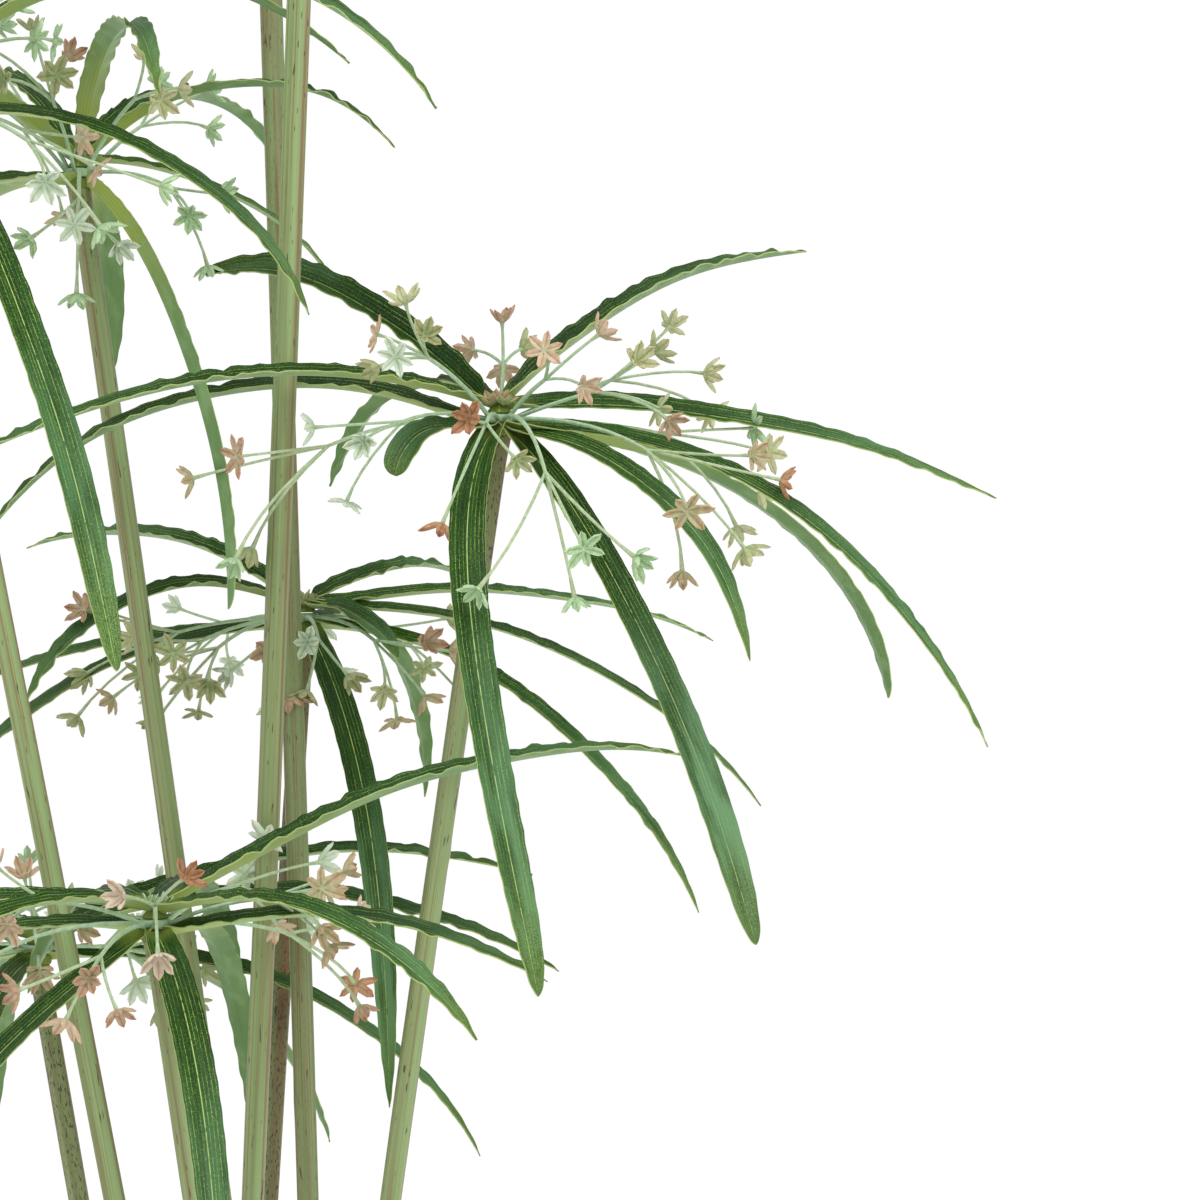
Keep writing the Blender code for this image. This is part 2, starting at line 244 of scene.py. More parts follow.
UMBELS = (
    even_umbel("a", seed=11, first=20, rise=20),
    even_umbel("b", seed=21, first=30, rise=36),
    Umbel(
        "c",
        lower=blades(
            Blade(168, 22, 78, 0.270, crease=2, lean=24),
            Blade(225, 3, 85, 0.066, hang=2.5, blunt=16, wide=1.1),
            Blade(252, -6, 70, 0.285, hang=0.4, swirl=66, blunt=18, wide=1.13, pale=0.52),
            Blade(308, -25, 41, 0.272, hang=0.55, lean=10, blunt=12, wide=1.06, pale=0.88),
            Blade(325, -8, 70, 0.170, hang=1.3, blunt=4),
            Blade(344, 4, 70, 0.264, hang=0.9, lean=22, blunt=2.2),
            Blade(22, -6, 76, 0.236, hang=1.8, lean=-8, blunt=9, wide=0.95),
        ),
        upper=blades(
            Blade(155, 39, 50, 0.165, hang=2.2, lean=46, blunt=12, wide=1.1),
            Blade(30, 47, 40, 0.177, hang=0.9, lean=22, wide=1.2, crease=3),
            Blade(193, 23, 54, 0.265, hang=0.7, lean=26, blunt=3, crease=2),
            (122, 22, 72, 0.170),
            Blade(6, 4, 28, 0.222, hang=1.0, lean=36, blunt=2.6, crease=4),
        ),
        rays=blades(
            (207, 12, 78, 0.084), (189, 2, 56, 0.132), (264, 10, 90, 0.082), (288, 12, 100, 0.128, 0.8),
            (333, 1, 64, 0.128), (3, 0, 25, 0.122), (228, 42, 40, 0.078), (88, 58, 30, 0.058),
            (28, 24, 18, 0.110), (347, 20, 14, 0.082), (311, 40, 40, 0.060),
        ),
    ),
    Umbel(
        "d",
        lower=blades(
            Blade(310, -31, 56, 0.235, hang=1.0, lean=-112, blunt=15, crease=24),
            (88, 5, 105, 0.135), (130, 8, 70, 0.230), (185, 5, 60, 0.240), (235, 0, 75, 0.220),
        ),
        upper=blades(
            (10, 0, 55, 0.130),
            Blade(338, 38, 84, 0.172, blunt=2.2, wide=0.9),
            (66, 40, 85, 0.220), (122, 42, 80, 0.240), (172, 40, 70, 0.250), (222, 38, 90, 0.230),
            (288, 45, 95, 0.210),
        ),
        rays=blades(
            (38, 50, 45, 0.080), (147, 60, 50, 0.090), (197, 52, 45, 0.090), (256, 56, 40, 0.080),
            (314, 50, 45, 0.080), (332, 2, 60, 0.080), (157, 6, 60, 0.100), (278, -2, 75, 0.100),
        ),
    ),
    Umbel(
        "e",
        lower=blades(
            Blade(309, -22, 48, 0.292, hang=0.5, lean=10, blunt=10, wide=1.08),
            (0, 5, 70, 0.200), (120, 8, 70, 0.240), (180, 5, 75, 0.250), (240, 0, 80, 0.250),
        ),
        upper=even_whorl(51, 40, 42, 88),
        rays=(*even_rays(53, 40), Blade(331, -6, 56, 0.120)),
    ),
    Umbel(
        "f",
        lower=blades(
            (170, -2, 24, 0.225), (189, 0, 62, 0.235, 1.0),
            Blade(293, -30, 56, 0.270, hang=1.3, swirl=-12, pale=0.6),
            (344, 2, 66, 0.245, 0.8), (24, 2, 52, 0.175, 0.9), (66, 15, 112, 0.180),
        ),
        upper=blades(
            (155, 34, 52, 0.165), (214, 20, 82, 0.165), (50, 26, 44, 0.125), (14, 8, 32, 0.205, 1.5),
            (354, 0, 52, 0.245), (322, 4, 60, 0.065),
        ),
        rays=blades(
            (45, 3, 50, 0.100), (96, 4, 50, 0.100), (132, 5, 45, 0.105), (204, 0, 35, 0.115),
            (222, -2, 44, 0.105), (240, 0, 50, 0.112), (258, 4, 75, 0.085), (282, 2, 66, 0.085),
            (318, 0, 75, 0.090),
        ),
    ),
    Umbel(
        "g",
        lower=blades(
            (225, -22, 60, 0.240), (286, -10, 78, 0.240), (345, 14, 42, 0.170), (82, 8, 90, 0.220),
            (160, 8, 80, 0.230),
        ),
        upper=blades(
            Blade(22, 29, 38, 0.250, hang=1.6, lean=12, crease=12),
            (178, 10, 56, 0.230), (85, 14, 80, 0.220), (124, 14, 76, 0.140), (235, 16, 84, 0.220),
            (322, 14, 60, 0.185),
        ),
        rays=blades(
            (53, 26, 45, 0.085), (212, 24, 45, 0.085), (277, 27, 50, 0.075), (346, 24, 40, 0.080),
            (15, 4, 50, 0.100), (112, 6, 60, 0.090), (188, 4, 60, 0.100), (255, 6, 60, 0.090),
        ),
    ),
    Umbel(
        "h",
        lower=blades(
            (14, 4, 66, 0.240), (50, 2, 70, 0.230), (105, 6, 74, 0.240), (160, 3, 64, 0.230),
            (215, 5, 76, 0.220), (265, 0, 72, 0.230),
        ),
        upper=blades(
            (75, 12, 76, 0.230), (130, 14, 74, 0.240), (188, 16, 76, 0.230), (240, 22, 84, 0.220),
            (350, 20, 50, 0.250), (16, 25, 42, 0.240),
        ),
        rays=blades(
            (40, 32, 45, 0.070), (102, 30, 40, 0.075), (158, 32, 45, 0.070), (214, 30, 45, 0.080),
            (276, 32, 40, 0.080), (353, 8, 45, 0.075), (32, 4, 60, 0.080), (132, 6, 60, 0.090),
            (240, 5, 65, 0.090),
        ),
    ),
)


# Working with objects


def any_turn(rng: Random) -> float:
    """Draws an angle from the whole round, in radians."""
    return rng.uniform(0, 6.28)


def edit(piece: Object, action: str) -> None:
    """Opens a piece in edit mode with all of its mesh selected, or none of it."""
    pick(piece)
    bpy.ops.object.mode_set(mode="EDIT")
    bpy.ops.mesh.select_all(action=action)


def close_edit() -> None:
    """Goes back to object mode."""
    bpy.ops.object.mode_set(mode="OBJECT")


def deselect_all() -> None:
    """Leaves nothing selected, in object mode."""
    if bpy.context.object and bpy.context.object.mode != "OBJECT":
        close_edit()
    bpy.ops.object.select_all(action="DESELECT")


def pick(*pieces: Object) -> None:
    """Selects these objects alone, the first one active."""
    deselect_all()
    for piece in pieces:
        piece.select_set(True)
    bpy.context.view_layer.objects.active = pieces[0]


def place_object(name: str, data: object) -> Object:
    """A new object in the scene for this mesh, curve, light or camera."""
    made = bpy.data.objects.new(name, data)
    bpy.context.scene.collection.objects.link(made)
    return made


def join(pieces: list[Object], name: str) -> Object:
    """Joins objects into one, named after the whole.

    Args:
        pieces: the objects; the first one's materials come first.
        name: the joined object's name.

    Returns:
        The joined object.
    """
    pick(*pieces)
    if len(pieces) > 1:
        bpy.ops.object.join()
    whole = bpy.context.object
    whole.name = whole.data.name = name
    return whole


def apply_modifier(piece: Object, kind: str, **settings: object) -> None:
    """Adds a modifier with these settings and applies it."""
    pick(piece)
    modifier = piece.modifiers.new(kind.lower(), kind)
    for key, value in settings.items():
        setattr(modifier, key, value)
    bpy.ops.object.modifier_apply(modifier=modifier.name)


def bevel_disc(disc: Object, width: float) -> None:
    """Puts a disc's place into its mesh and rounds its rims."""
    pick(disc)
    bpy.ops.object.transform_apply(location=True, rotation=True, scale=True)
    apply_modifier(disc, "BEVEL", width=width, segments=3)


def coordinates(mesh: Mesh) -> np.ndarray:
    """The mesh's vertex places as an array of rows."""
    values = np.empty(len(mesh.vertices) * 3)
    mesh.vertices.foreach_get("co", values)
    return values.reshape(-1, 3)


def place_vertices(mesh: Mesh, places: np.ndarray) -> None:
    """Moves the mesh's vertices to these places."""
    mesh.vertices.foreach_set("co", places.astype(np.float32).ravel())
    mesh.update()


def write_values(mesh: Mesh, **values: float | np.ndarray) -> None:
    """Stores a number for each vertex under each of these names, for a material to read."""
    for name, value in values.items():
        layer = mesh.attributes.get(name) or mesh.attributes.new(name, "FLOAT", "POINT")
        layer.data.foreach_set("value", np.full(len(mesh.vertices), value, dtype=np.float32))


def write_tint(mesh: Mesh, first: Colour, second: Colour, share: np.ndarray) -> None:
    """Stores a colour for each vertex as "tint", from the first colour to the second by its share."""
    rows = np.ones((len(share), 4))
    rows[:, :3] = np.array(first) * (1 - share)[:, None] + np.array(second) * share[:, None]
    layer = mesh.attributes.get("tint") or mesh.attributes.new("tint", "FLOAT_COLOR", "POINT")
    layer.data.foreach_set("color", rows.astype(np.float32).ravel())


def stretch_uv(mesh: Mesh, along: float) -> None:
    """Scales the UV map's V, so that a pattern keeps its true proportions."""
    layer = mesh.uv_layers.active.data
    values = np.empty(len(layer) * 2)
    layer.foreach_get("uv", values)
    values[1::2] *= along
    layer.foreach_set("uv", values)


def hand_over(piece: Object, smooth: float, slot: str, *nodes: str) -> Object:
    """Shades a finished piece and rides it on the plant, in place of the frame's nodes.

    Args:
        piece: the finished piece.
        smooth: corners over this angle in degrees stay sharp.
        slot: not used.
        nodes: the frame's nodes that it stands for.

    Returns:
        The piece.
    """
    pick(piece)
    bpy.ops.object.shade_smooth_by_angle(angle=math.radians(smooth))
    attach(piece, ROOT_BODY)
    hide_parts(*nodes)
    LOG.info("%s: %d vertices, for %s", piece.name, len(piece.data.vertices), ", ".join(nodes))
    return piece


# Materials


class Bench:
    """A material under construction: its colour so far, and short ways to add and join its nodes."""

    def __init__(self, name: str, colour: Colour = (1.0, 1.0, 1.0)) -> None:
        """Starts a material of one colour."""
        self.colour = colour
        self.material = bpy.data.materials.new(name)
        self.material.use_nodes = True
        self.nodes = self.material.node_tree.nodes
        self.links = self.material.node_tree.links
        self.shader = self.nodes["Principled BSDF"]

    def node(self, kind: str, **settings: object) -> Node:
        """Adds a node and sets its properties."""
        made = self.nodes.new("ShaderNode" + kind)
        for key, value in settings.items():
            setattr(made, key, value)
        return made

    def feed(self, sockets: list[NodeSocket], *values: object) -> None:
        """Links an output, or sets a constant, on each of these inputs."""
        for socket, value in zip(sockets, values):
            if isinstance(value, NodeSocket):
                self.links.new(value, socket)
            elif socket.type == "RGBA":
                socket.default_value = (*value, 1.0)
            else:
                socket.default_value = value

    def set_up(self, node: Node, **values: object) -> None:
        """Feeds a node's inputs by name."""
        self.feed([node.inputs[name] for name in values], *values.values())

    def math(self, operation: str, *values: object) -> NodeSocket:
        """A Math node's result for these inputs."""
        made = self.node("Math", operation=operation)
        self.feed(made.inputs, *values)
        return made.outputs[0]

    def times(self, first: object, second: object) -> NodeSocket:
        """The product of two values."""
        return self.math("MULTIPLY", first, second)

    def apart(self, first: object, second: float) -> NodeSocket:
        """How far a value lies from another."""
        return self.math("ABSOLUTE", self.math("SUBTRACT", first, second))

    def spread(self, value: object, low: float, high: float, to: tuple = (0.0, 1.0)) -> NodeSocket:
        """A value eased from one range to another, held at its ends.

        Args:
            value: the input.
            low: the input that gives the first of ``to``.
            high: the input that gives the second.
            to: the results at the two ends.

        Returns:
            The eased value.
        """
        made = self.node("MapRange", interpolation_type="SMOOTHSTEP")
        self.feed(made.inputs, value, low, high, *to)
        return made.outputs[0]

    def blend(self, factor: object, first: object, second: object, way: str = "MIX") -> NodeSocket:
        """Two colours mixed by a factor."""
        made = self.node("Mix", data_type="RGBA", blend_type=way, clamp_factor=True)
        self.feed([made.inputs[0], made.inputs[6], made.inputs[7]], factor, first, second)
        return made.outputs[2]

    def coat(self, factor: object, colour: object) -> None:
        """Paints a colour over the material's own."""
        self.colour = self.blend(factor, self.colour, colour)

    def dim(self, colour: object, by: object) -> NodeSocket:
        """A colour multiplied by another."""
        return self.blend(1.0, colour, by, "MULTIPLY")

    def vector(self, x: object, y: object, z: object) -> NodeSocket:
        """A vector from three values."""
        made = self.node("CombineXYZ")
        self.feed(made.inputs, x, y, z)
        return made.outputs[0]

    def noise(self, place: object, scale: float, detail: float = 2.0, rough: float = 0.5) -> NodeSocket:
        """Noise from 0 to 1 at a place."""
        made = self.node("TexNoise")
        self.set_up(made, Vector=place, Scale=scale, Detail=detail, Roughness=rough)
        return made.outputs["Fac"]

    def uv(self) -> tuple[NodeSocket, NodeSocket]:
        """The piece's own UV map as two values."""
        split = self.node("SeparateXYZ")
        self.links.new(self.node("UVMap").outputs[0], split.inputs[0])
        return split.outputs[0], split.outputs[1]

    def stored(self, name: str, output: str = "Fac") -> NodeSocket:
        """A value or colour stored on the piece."""
        return self.node("Attribute", attribute_name=name).outputs[output]

    def place(self) -> NodeSocket:
        """The point's place on the piece."""
        return self.node("TexCoord").outputs["Object"]

    def bump(self, height: object, distance: float, strength: float) -> None:
        """Raises the surface by a height."""
        made = self.node("Bump")
        self.set_up(made, Strength=strength, Distance=distance, Height=height)
        self.links.new(made.outputs[0], self.shader.inputs["Normal"])

    def finish(self, roughness: object, specular: float) -> Material:
        """Sets the shader's main inputs and hands the material over."""
        look = {"Base Color": self.colour, "Roughness": roughness, "Specular IOR Level": specular}
        self.set_up(self.shader, **look)
        return self.material


@dataclass(frozen=True)
class LeafFinish:
    """The printed faces of a leaf: veined green above, lime to mint below, cream at the cut edge, with
    painted sheen over the outer half above and in patches below.
    """

    deep: Colour = (0.005, 0.031, 0.003)
    green: Colour = (0.015, 0.063, 0.006)
    vein: Colour = (0.36, 0.52, 0.095)
    midrib: Colour = (0.44, 0.56, 0.17)
    tip: Colour = (0.230, 0.350, 0.085)
    # colour of the painted sheen on the outer half of the upper face
    painted_sheen: Colour = (0.150, 0.310, 0.142)
    root: Colour = (0.22, 0.28, 0.05)
    lime: Colour = (0.30, 0.38, 0.075)
    mint: Colour = (0.135, 0.245, 0.085)
    shadow: Colour = (0.09, 0.18, 0.05)
    # colour of the painted sheen patches on the underside
    patch_sheen: Colour = (0.25, 0.37, 0.17)
    cream: Colour = (0.34, 0.43, 0.16)
    veins: int = 9

    def above(self) -> Material:
        """The upper face: dark bands, dotted yellow-green veins and a pale midrib."""
        b = Bench("leaf_above", self.deep)
        u, v = b.uv()
        reach = b.stored("reach")
        tone = b.times(b.stored("tone"), 37.0)

        def grain(column: object, across: float, along: float, detail: float = 1.0) -> NodeSocket:
            """Noise that changes this fast across and along the leaf."""
            return b.noise(b.vector(b.times(column, across), b.times(v, along), tone), 1.0, detail)

        b.coat(b.spread(grain(u, 9.0, 0.22, 3.0), 0.32, 0.68), self.green)
        row = b.times(u, float(self.veins))
        line = b.spread(b.apart(b.math("FRACT", row), 0.5), 0.03, 0.12, (1.0, 0.0))
        number = b.math("FLOOR", row)
        beads, reachy = grain(number, 3.7, 24.0), grain(number, 7.3, 0.55)
        strong = b.times(b.spread(beads, 0.38, 0.54), b.spread(reachy, 0.42, 0.60))
        veins = b.times(line, b.math("ADD", b.times(strong, 0.53), 0.06))
        b.coat(b.times(veins, b.spread(reach, 0.45, 0.85, (1.0, 0.45))), self.vein)
        b.coat(b.spread(grain(u, 38.0, 26.0), 0.61, 0.70, (0.0, 0.32)), self.vein)
        worn = b.spread(b.noise(b.vector(0.3, b.times(v, 4.0), tone), 1.0), 0.28, 0.54)
        rib = b.times(b.spread(b.apart(u, 0.5), 0.007, 0.021, (1.0, 0.0)), worn)
        b.coat(b.times(rib, 0.85), self.midrib)
        mottle = grain(u, 2.2, 0.34, 3.0)
        # painted sheen: the outer half of the leaf is lightened in mottled patches, as strongly as its pale
        # value says
        late = b.times(b.spread(reach, 0.34, 0.80), b.spread(reach, 0.84, 1.0, (1.0, 0.40)))
        sheen_mask = b.times(b.times(late, b.stored("pale")), b.spread(mottle, 0.34, 0.62, (0.20, 1.0)))
        b.coat(sheen_mask, self.painted_sheen)
        b.coat(b.times(veins, b.spread(reach, 0.4, 0.7, (0.0, 0.42))), self.vein)
        speckle = grain(u, 32.0, 28.0)
        tipped = b.times(b.spread(reach, 0.74, 1.0), b.spread(speckle, 0.46, 0.58, (0.03, 0.62)))
        b.coat(tipped, self.tip)
        b.coat(b.spread(reach, 0.0, 0.07, (0.75, 0.0)), self.root)
        bright = b.spread(b.stored("tone"), 0.0, 1.0, (0.78, 1.22))
        ribs = b.times(b.math("SINE", b.times(u, 2 * math.pi * self.veins)), 0.35)
        b.bump(b.math("ADD", ribs, b.times(speckle, 0.9)), 0.00016, 0.6)
        b.colour = b.dim(b.colour, b.vector(bright, bright, bright))
        return b.finish(b.spread(mottle, 0.3, 0.7, (0.38, 0.54)), 0.18)

    def below(self) -> Material:
        """The underside: lime at the hub, pale mint further out, faint veins and painted sheen patches."""
        b = Bench("leaf_below", self.lime)
        u, v = b.uv()
        tone = b.times(b.stored("tone"), 23.0)
        drift = b.noise(b.vector(b.times(u, 5.0), b.times(v, 0.4), tone), 1.0, 3.0)
        share = b.math("ADD", b.stored("reach"), b.times(drift, 0.25))
        b.coat(b.spread(share, 0.22, 0.62), self.mint)
        offset = b.apart(b.math("FRACT", b.times(u, float(self.veins))), 0.5)
        b.coat(b.spread(offset, 0.05, 0.22, (0.30, 0.0)), self.shadow)
        # painted sheen: pale patches scattered over the underside
        patches = b.noise(b.vector(b.times(u, 2.0), v, tone), 1.0, 3.0)
        b.coat(b.spread(patches, 0.45, 0.72, (0.0, 0.45)), self.patch_sheen)
        b.bump(offset, 0.00012, 0.5)
        sheen = {"Sheen Weight": 0.55, "Sheen Roughness": 0.35, "Sheen Tint": (0.80, 0.95, 0.74)}
        b.set_up(b.shader, **sheen)
        return b.finish(0.55, 0.2)

    def edge(self) -> Material:
        """The pale cut edge."""
        b = Bench("leaf_edge", self.cream)
        b.coat(b.spread(b.noise(b.place(), 900.0), 0.4, 0.65), self.lime)
        return b.finish(0.6, 0.3)


@dataclass(frozen=True)
class StemFinish:
    """Pale olive plastic with grooves, reddish streaks and small dark pits."""

    pale: Colour = (0.275, 0.385, 0.155)
    olive: Colour = (0.190, 0.250, 0.090)
    shade: Colour = (0.118, 0.104, 0.043)
    rust: Colour = (0.200, 0.085, 0.040)
    tan: Colour = (0.265, 0.205, 0.105)
    pit: Colour = (0.070, 0.026, 0.018)

    def make(self) -> Material:
        """Builds the material."""
        b = Bench("stem_skin", self.pale)
        u, v = b.uv()
        seed = b.times(b.stored("tone"), 41.0)
        dusk = b.stored("dusk")
        around = b.times(u, 6.283)
        ring_x, ring_y = b.math("COSINE", around), b.math("SINE", around)

        def grain(wide: float, long: float, detail: float = 1.0) -> NodeSocket:
            """Noise stretched along the stem, seamless round it."""
            z = b.math("ADD", b.times(v, long), seed)
            return b.noise(b.vector(b.times(ring_x, wide), b.times(ring_y, wide), z), 1.0, detail)

        b.coat(b.spread(grain(1.1, 3.0, 3.0), 0.36, 0.66), self.olive)
        b.coat(b.times(dusk, 0.85), self.shade)
        fibre = grain(7.0, 5.0, 2.0)
        b.coat(b.spread(fibre, 0.50, 0.72, (0.0, 0.35)), self.shade)
        band = b.times(b.spread(grain(1.5, 0.9), 0.53, 0.63), b.spread(grain(2.4, 6.0, 3.0), 0.34, 0.58))
        b.coat(b.times(band, 0.55), self.tan)
        streak = b.times(b.spread(grain(4.6, 2.0), 0.545, 0.60), b.spread(grain(2.0, 9.0, 3.0), 0.44, 0.54))
        b.coat(b.times(streak, 0.60), self.rust)
        blotch = b.spread(grain(1.3, 7.0, 4.0), b.spread(dusk, 0.2, 0.8, (0.56, 0.42)), 0.70)
        b.coat(b.times(blotch, b.spread(dusk, 0.2, 0.8, (0.45, 0.80))), self.rust)
        spot = b.spread(grain(4.2, 120.0), 0.69, 0.73)
        b.coat(b.times(spot, 0.85), self.pit)
        dots = b.times(b.spread(grain(6.0, 420.0), 0.58, 0.66), b.spread(dusk, 0.2, 0.6))
        b.coat(dots, self.pit)
        b.bump(b.math("SUBTRACT", b.times(fibre, 0.8), b.times(spot, 0.9)), 0.0004, 0.6)
        return b.finish(b.spread(fibre, 0.3, 0.7, (0.40, 0.56)), 0.45)


@dataclass(frozen=True)
class FlowerFinish:
    """Thin moulded plastic, coloured by what each stalk and petal was dipped in, with painted shade along
    each petal's cupped middle.
    """

    milk: Colour = (0.72, 0.78, 0.66)
    cloudy: Colour = (0.86, 0.82, 0.74)
    # colour that the painted shade along each petal's middle is multiplied by
    crease: Colour = (0.66, 0.60, 0.50)

    def make(self) -> Material:
        """Builds the material."""
        b = Bench("flower_plastic")
        tint = b.stored("tint", "Color")
        cloud = b.noise(b.place(), 420.0)
        b.colour = b.dim(tint, self.cloudy)
        b.coat(b.spread(cloud, 0.25, 0.75), b.blend(0.14, tint, self.milk))
        # painted shade: each petal darkens along its cupped middle, where its rim value is low
        b.coat(b.spread(b.stored("rim"), 0.0, 0.45, (0.62, 0.0)), b.dim(b.colour, self.crease))
        b.shader.inputs["Subsurface Weight"].default_value = 0.12
        b.shader.inputs["Subsurface Radius"].default_value = (0.002, 0.003, 0.0015)
        b.bump(cloud, 0.0001, 0.4)
        return b.finish(0.5, 0.25)


@dataclass(frozen=True)
class PotFinish:
    """Matt charcoal plastic with a fine moulded grain."""

    body: Colour = (0.030, 0.031, 0.033)
    scuff: Colour = (0.085, 0.085, 0.083)

    def make(self) -> Material:
        """Builds the material."""
        b = Bench("pot_plastic", self.body)
        place = b.place()
        cloud = b.noise(place, 14.0, 4.0)
        split = b.node("SeparateXYZ")
        b.links.new(place, split.inputs[0])
        worn = b.times(b.spread(split.outputs[2], 0.0, 0.012, (1.0, 0.0)), b.spread(cloud, 0.4, 0.6))
        scratch = b.spread(b.noise(place, 60.0, 5.0, 0.7), 0.62, 0.72, (0.0, 0.35))
        b.coat(b.math("MAXIMUM", b.times(worn, 0.7), scratch), self.scuff)
        b.bump(b.noise(place, 900.0), 0.00015, 0.5)
        return b.finish(b.spread(cloud, 0.3, 0.7, (0.46, 0.60)), 0.45)


@dataclass(frozen=True)
class SoilFinish:
    """Dark crumbled soil with lighter bark flecks."""

    dark: Colour = (0.020, 0.013, 0.008)
    brown: Colour = (0.085, 0.052, 0.030)
    fleck: Colour = (0.20, 0.145, 0.095)

    def make(self) -> Material:
        """Builds the material."""
        b = Bench("soil_crumbs", self.dark)
        place = b.place()
        b.coat(b.spread(b.noise(place, 110.0, 4.0, 0.6), 0.38, 0.64), self.brown)
        b.coat(b.spread(b.noise(place, 330.0), 0.64, 0.72, (0.0, 0.8)), self.fleck)
        b.bump(b.noise(place, 500.0, 3.0), 0.0008, 0.8)
        return b.finish(0.92, 0.2)


@dataclass(frozen=True)
class FloorFinish:
    """The studio's plain pale floor."""

    colour: Colour = (0.965, 0.965, 0.96)

    def make(self) -> Material:
        """Builds the material."""
        b = Bench("floor_paint", self.colour)
        return b.finish(b.spread(b.noise(b.place(), 1.2, 3.0), 0.3, 0.7, (0.72, 0.80)), 0.2)


# Leaves


@dataclass
class LeafWhorl:
    """One whorl: a collar on the stem's peg and the leaves moulded to it."""

    umbel: Umbel
    tier: Tier
    hub: Vector
    finishes: tuple[Material, Material, Material]
    width: float = 0.0145
    thickness: float = 0.00055
    root_radius: float = 0.0042
    collar_radius: float = 0.0062
    collar_top: float = 0.0022
    collar_tone: float = 0.5
    columns: int = 8
    rows: int = 96
    tip_crowding: float = 1.25
    rising_from: float = 15.0

    @property
    def low(self) -> float:
        """The collar's height above the hub's foot."""
        return 0.0 if self.tier is Tier.LOWER else UPPER_LOW

    def blank(self) -> Object:
        """Cuts one flat leaf blank and presses a channel along its middle.

        Returns:
            The blank: a unit square with X across, Y from root to tip, and Z raised at both edges.
        """
        deselect_all()
        bpy.ops.mesh.primitive_grid_add(x_subdivisions=self.columns, y_subdivisions=self.rows, size=1)
        blank = bpy.context.object
        edit(blank, "DESELECT")
        close_edit()
        for vertex in blank.data.vertices:
            vertex.select = abs(vertex.co.x) < 0.01
        bpy.ops.object.mode_set(mode="EDIT")
        bpy.ops.transform.translate(
            value=(0, 0, -0.5),
            use_proportional_edit=True,
            proportional_edit_falloff="LINEAR",
            proportional_size=0.5,
        )
        close_edit()
        blank.data.transform(Matrix.Translation((0, 0, 0.5)))
        for finish in self.finishes:
            blank.data.materials.append(finish)
        return blank

    def outline(self, share: np.ndarray, blade: Blade) -> np.ndarray:
        """The leaf's width along its length, as a share of its full width.

        Args:
            share: from 0 at the root to 1 at the tip.
            blade: the leaf; a rising one has a narrower root.

        Returns:
            The width's share at each place.
        """
        root = 0.55 if blade.rise > self.rising_from else 0.84
        swell = np.minimum(1.0, root + (1.0 - root) * share / 0.16)
        return np.maximum(0.02, swell * (1.0 - share**blade.blunt) ** (0.8 if blade.blunt < 8 else 0.55))

    def lay(self, leaf: Object, blade: Blade, rng: Random) -> None:
        """Bends a leaf blank along its own line, folds it and ruffles its edges.

        Args:
            leaf: a copy of the blank.
            blade: the leaf's line.
            rng: picks the leaf's small differences.
        """
        places = coordinates(leaf.data)
        across = places[:, 0] * -2
        share = 1 - (0.5 - places[:, 1]) ** self.tip_crowding
        lift = places[:, 2] * 2
        root = self.root_radius if self.tier is Tier.LOWER else 0.6 * self.root_radius
        point, along, side, normal = blade.path(root, self.low + WHORL_DISC / 2).at(share)
        lean = blade.lean * math.cos(math.radians(blade.azimuth)) + rng.uniform(-5, 5)
        roll = np.radians(lean + rng.uniform(-10, 10) * share) * np.minimum(1.0, 0.35 + share / 0.12)
        sine, cosine = np.sin(roll)[:, None], np.cos(roll)[:, None]
        turned = side * cosine + normal * sine
        normal = normal * cosine - side * sine
        half = self.width / 2 * blade.wide * rng.uniform(0.94, 1.04) * self.outline(share, blade)
        gutter = min(42.0, max(14.0, 22.0 + 0.6 * blade.rise)) + blade.crease
        fold = np.radians(gutter * (1 - 0.35 * share) + 24 * np.exp(-share / 0.05))
        ruffle = float(np.interp(blade.rise, (-10, 5, 25), (0.00018, 0.00030, 0.00062)))
        beat = 2 * math.pi * blade.length * share / rng.uniform(0.0105, 0.0135)
        shift = np.where(across > 0, any_turn(rng), any_turn(rng))
        waves = ((1.0, 1.0, 1.0), (0.7, 0.57, 2.1), (0.4, 1.7, 3.0))
        swing = sum(size * np.sin(rate * beat + start * shift) for size, rate, start in waves)
        swing *= 0.7 + 0.5 * np.sin(0.13 * beat + shift)
        edge = np.abs(across) ** 2.2 * np.minimum(1.0, share / 0.05) * ruffle
        reach = half * across * np.cos(fold) + np.sign(across) * edge * 0.6 * np.sin(beat * 0.9 + shift)
        bow = 0.0006 * np.sin(share * rng.uniform(9, 14) + rng.uniform(0, 6))
        height = half * lift * np.sin(fold) + edge * swing + bow
        moved = point + turned * reach[:, None] + normal * height[:, None]
        place_vertices(leaf.data, moved + np.array(self.hub))
        # pale sets how strongly the painted sheen lightens this leaf's outer half
        write_values(leaf.data, reach=share, tone=rng.random(), pale=blade.pale)
        stretch_uv(leaf.data, blade.length / self.width)

    def collar(self) -> Object:
        """Turns the small moulded collar that grips the peg."""
        deselect_all()
        bpy.ops.mesh.primitive_cone_add(
            vertices=20,
            radius1=self.collar_radius,
            radius2=self.collar_radius if self.tier is Tier.LOWER else self.collar_top,
            depth=WHORL_DISC,
            location=self.hub + Vector((0, 0, self.low + WHORL_DISC / 2)),
        )
        collar = bpy.context.object
        bevel_disc(collar, 0.0014)
        collar.data.materials.append(self.finishes[0])
        write_values(collar.data, reach=0.02, tone=self.collar_tone, pale=0.0)
        return collar

